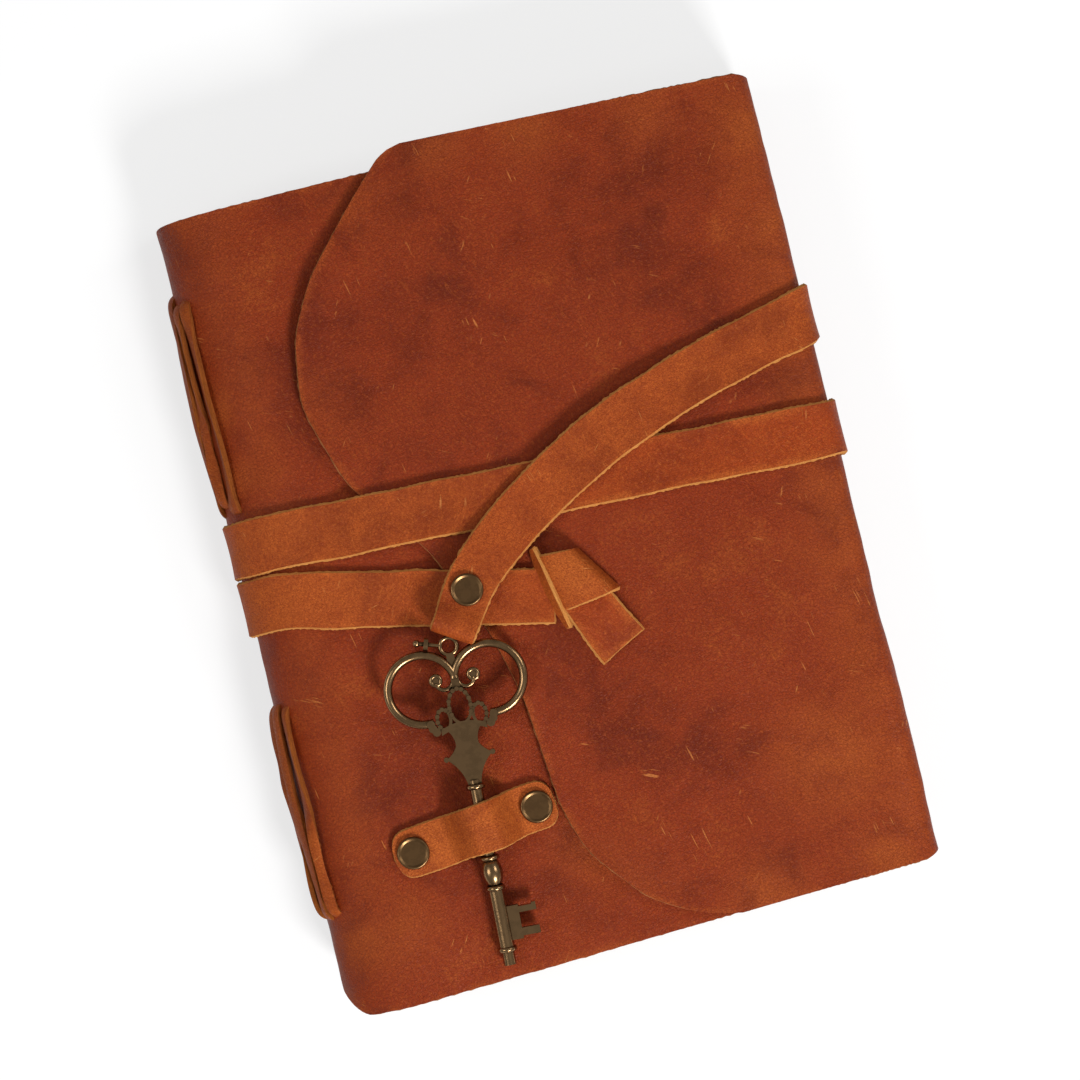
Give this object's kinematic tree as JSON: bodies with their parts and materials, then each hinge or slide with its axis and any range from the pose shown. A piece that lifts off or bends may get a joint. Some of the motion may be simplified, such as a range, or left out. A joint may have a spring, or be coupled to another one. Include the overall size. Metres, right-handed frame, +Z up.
{
  "type": "wrap diary with key closure",
  "caption": "Leather wrap diary with a folding flap, sewn paper gatherings and a long strap whose end holds a key tucked under a riveted keeper.",
  "frame": {"origin": "on the surface that the diary lies on, under the strap that crosses its back", "axes": "+Z up out of the front, +Y towards the head of the pages, +X from the spine to the fore-edge"},
  "size_m": [0.1448, 0.1843, 0.037],
  "materials": {
    "hide": "waxed",
    "lace": "waxed",
    "paper": "deckled",
    "strap": "waxed",
    "rivet": "antiqued",
    "key": "antiqued"
  },
  "bodies": {
    "back": {"back_cover": "hide", "spine": "hide", "fore_edge": "hide", "lacing_head": "lace", "lacing_tail": "lace", "signature_1": "paper", "strap_back_1": "strap", "strap_back_2": "strap", "strap_fore_turn_1": "strap", "strap_fore_turn_2": "strap"},
    "front": {"front_cover": "hide", "keeper": "strap", "keeper_rivet_left": "rivet", "keeper_rivet_right": "rivet", "keeper_rivet_back_left": "rivet", "keeper_rivet_back_right": "rivet"},
    "flap": {"flap": "hide", "knot_tail": "strap", "knot_loop": "strap", "knot_fold": "strap", "strap_start": "strap", "strap_front": "strap", "strap_tail": "strap", "strap_spine_turn_1": "strap", "strap_spine_turn_2": "strap"},
    "key": {"key": "key", "strap_end": "strap", "strap_rivet": "rivet", "strap_rivet_back": "rivet"},
    "gathering_2": {"signature_2": "paper"},
    "gathering_3": {"signature_3": "paper"},
    "gathering_4": {"signature_4": "paper"},
    "gathering_5": {"signature_5": "paper"},
    "gathering_6": {"signature_6": "paper"}
  },
  "joints": [
    {"name": "cover_open", "type": "hinge", "parent": "back", "child": "front", "pos_m": [-0.061, 0, 0.0277], "axis": [0, -1, 0], "range_deg": [0, 160]},
    {"name": "flap_open", "type": "hinge", "parent": "back", "child": "flap", "pos_m": [0.0655, 0, 0.03], "axis": [0, 1, 0], "range_deg": [0, 160], "deforming": ["flap", "knot_tail", "knot_loop", "knot_fold", "strap_start", "strap_front", "strap_tail", "strap_spine_turn_1", "strap_spine_turn_2"]},
    {"name": "key_slide", "type": "slide", "parent": "front", "child": "key", "axis": [0.0522, 0.997, 0.0576], "range_m": [-0.002, 0.004]},
    {"name": "gathering_2_turn", "type": "hinge", "parent": "back", "child": "gathering_2", "pos_m": [-0.061, 0, 0.0277], "axis": [0, -1, 0], "range_deg": [0, 5.3]},
    {"name": "gathering_3_turn", "type": "hinge", "parent": "back", "child": "gathering_3", "pos_m": [-0.061, 0, 0.0277], "axis": [0, -1, 0], "range_deg": [0, 10.1]},
    {"name": "gathering_4_turn", "type": "hinge", "parent": "back", "child": "gathering_4", "pos_m": [-0.061, 0, 0.0277], "axis": [0, -1, 0], "range_deg": [0, 138.1]},
    {"name": "gathering_5_turn", "type": "hinge", "parent": "back", "child": "gathering_5", "pos_m": [-0.061, 0, 0.0277], "axis": [0, -1, 0], "range_deg": [0, 144.5]},
    {"name": "gathering_6_turn", "type": "hinge", "parent": "back", "child": "gathering_6", "pos_m": [-0.061, 0, 0.0277], "axis": [0, -1, 0], "range_deg": [0, 150.9]}
  ],
  "couplings": [
    {"joint": "flap_open", "follows": "cover_open", "ratio": 1},
    {"joint": "gathering_2_turn", "follows": "cover_open", "ratio": 0.03},
    {"joint": "gathering_3_turn", "follows": "cover_open", "ratio": 0.06},
    {"joint": "gathering_4_turn", "follows": "cover_open", "ratio": 0.86},
    {"joint": "gathering_5_turn", "follows": "cover_open", "ratio": 0.9},
    {"joint": "gathering_6_turn", "follows": "cover_open", "ratio": 0.94}
  ]
}
